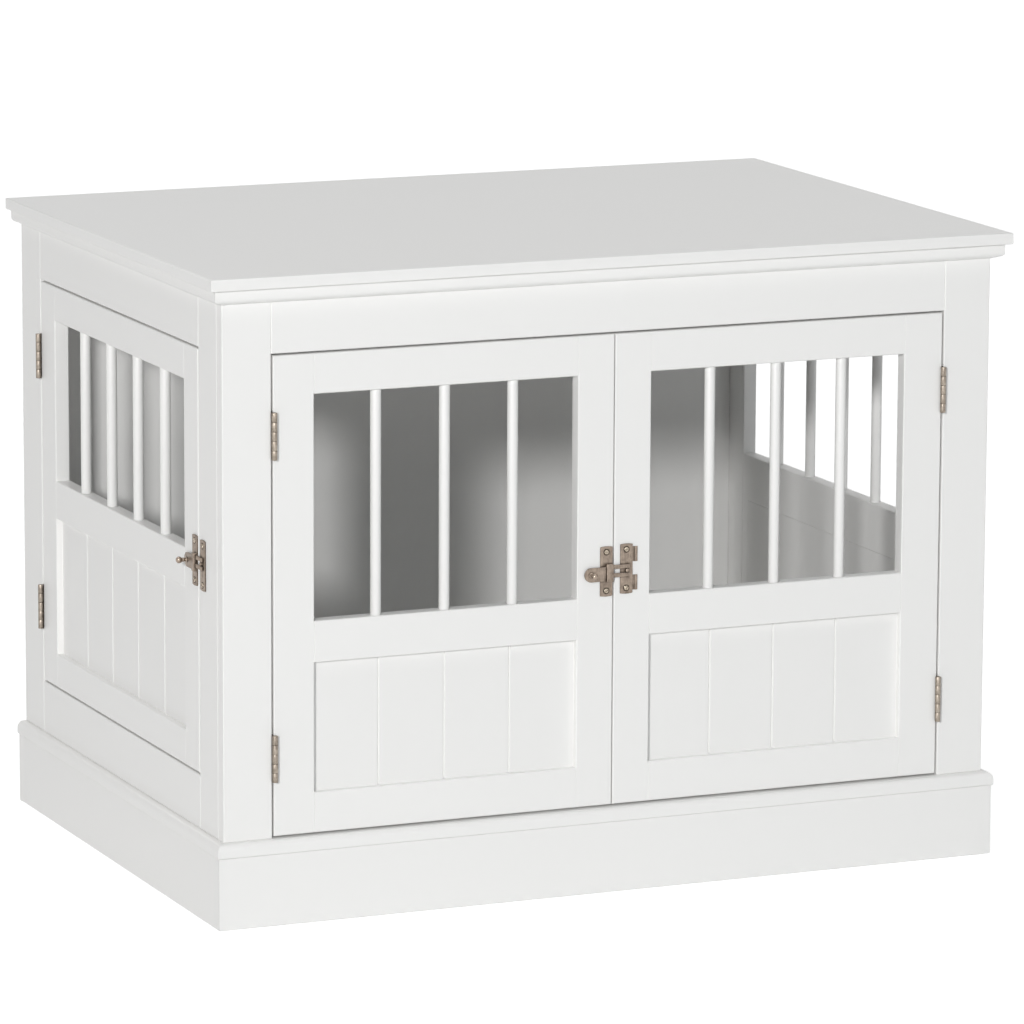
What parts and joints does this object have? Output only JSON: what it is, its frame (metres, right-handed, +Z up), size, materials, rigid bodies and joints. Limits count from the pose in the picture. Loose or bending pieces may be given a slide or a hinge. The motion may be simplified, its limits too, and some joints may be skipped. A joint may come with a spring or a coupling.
{
  "type": "dog crate end table",
  "caption": "White cabinet-style dog crate that serves as an end table, with barred windows, beadboard panels, a pair of front doors and a side door, each closed by a slide bolt.",
  "frame": {"origin": "on the floor under the middle of the top panel", "axes": "+X to the right along the front with its two doors, +Y from the front to the back, +Z up"},
  "size_m": [1.02, 0.72, 0.762],
  "materials": {
    "white_paint": "satin white paint on fibreboard",
    "panel_paint": "satin white paint on fibreboard",
    "bronze": "antique bronze",
    "bright_bronze": "rubbed antique bronze"
  },
  "bodies": {
    "cabinet": {"top_panel": "white_paint", "cornice_front": "white_paint", "cornice_left": "white_paint", "cornice_right": "white_paint", "front_left_post": "white_paint", "front_right_post": "white_paint", "front_header_rail": "white_paint", "left_front_stile": "white_paint", "left_rear_stile": "white_paint", "left_header_rail": "white_paint", "left_sill_rail": "white_paint", "right_side_frame": "white_paint", "right_window_frame": "white_paint", "right_beadboard": "panel_paint", "right_bar_1": "white_paint", "right_bar_2": "white_paint", "right_bar_3": "white_paint", "right_bar_4": "white_paint", "back_panel": "panel_paint", "base_panel": "white_paint", "plinth_front": "white_paint", "plinth_left": "white_paint", "plinth_right": "white_paint", "plinth_back": "white_paint", "front_left_upper_hinge_post_leaf": "bronze", "front_left_lower_hinge_post_leaf": "bronze", "front_right_upper_hinge_post_leaf": "bronze", "front_right_lower_hinge_post_leaf": "bronze", "side_door_upper_hinge_post_leaf": "bronze", "side_door_lower_hinge_post_leaf": "bronze", "side_latch_strike": "bronze"},
    "front_left_door": {"front_left_door_frame": "white_paint", "front_left_beadboard": "panel_paint", "front_left_bar_1": "white_paint", "front_left_bar_2": "white_paint", "front_left_bar_3": "white_paint", "front_left_upper_hinge_door_leaf": "bronze", "front_left_lower_hinge_door_leaf": "bronze", "front_latch_case": "bronze"},
    "front_right_door": {"front_right_door_frame": "white_paint", "front_right_beadboard": "panel_paint", "front_right_bar_1": "white_paint", "front_right_bar_2": "white_paint", "front_right_bar_3": "white_paint", "front_right_upper_hinge_door_leaf": "bronze", "front_right_lower_hinge_door_leaf": "bronze", "front_latch_strike": "bronze"},
    "side_door": {"side_door_frame": "white_paint", "side_door_beadboard": "panel_paint", "side_door_bar_1": "white_paint", "side_door_bar_2": "white_paint", "side_door_bar_3": "white_paint", "side_door_bar_4": "white_paint", "side_door_upper_hinge_door_leaf": "bronze", "side_door_lower_hinge_door_leaf": "bronze", "side_latch_case": "bronze"},
    "front_slide_bolt": {"front_latch_bolt": "bronze", "front_latch_knob": "bright_bronze"},
    "side_slide_bolt": {"side_latch_bolt": "bronze", "side_latch_knob": "bright_bronze"}
  },
  "joints": [
    {"name": "front_left_door_hinge", "type": "hinge", "parent": "cabinet", "child": "front_left_door", "pos_m": [-0.42775, -0.3438, 0.38475], "axis": [0, 0, -1], "range_deg": [0, 165]},
    {"name": "front_right_door_hinge", "type": "hinge", "parent": "cabinet", "child": "front_right_door", "pos_m": [0.42775, -0.3438, 0.38475], "axis": [0, 0, 1], "range_deg": [0, 165]},
    {"name": "side_door_hinge", "type": "hinge", "parent": "cabinet", "child": "side_door", "pos_m": [-0.4938, 0.28775, 0.41675], "axis": [0, 0, -1], "range_deg": [0, 165]},
    {"name": "front_bolt_slide", "type": "slide", "parent": "front_left_door", "child": "front_slide_bolt", "axis": [-1, 0, 0], "range_m": [0, 0.02]},
    {"name": "side_bolt_slide", "type": "slide", "parent": "side_door", "child": "side_slide_bolt", "axis": [0, 1, 0], "range_m": [0, 0.02]}
  ],
  "couplings": [
    {"joint": "front_right_door_hinge", "follows": "front_left_door_hinge", "ratio": 1}
  ]
}
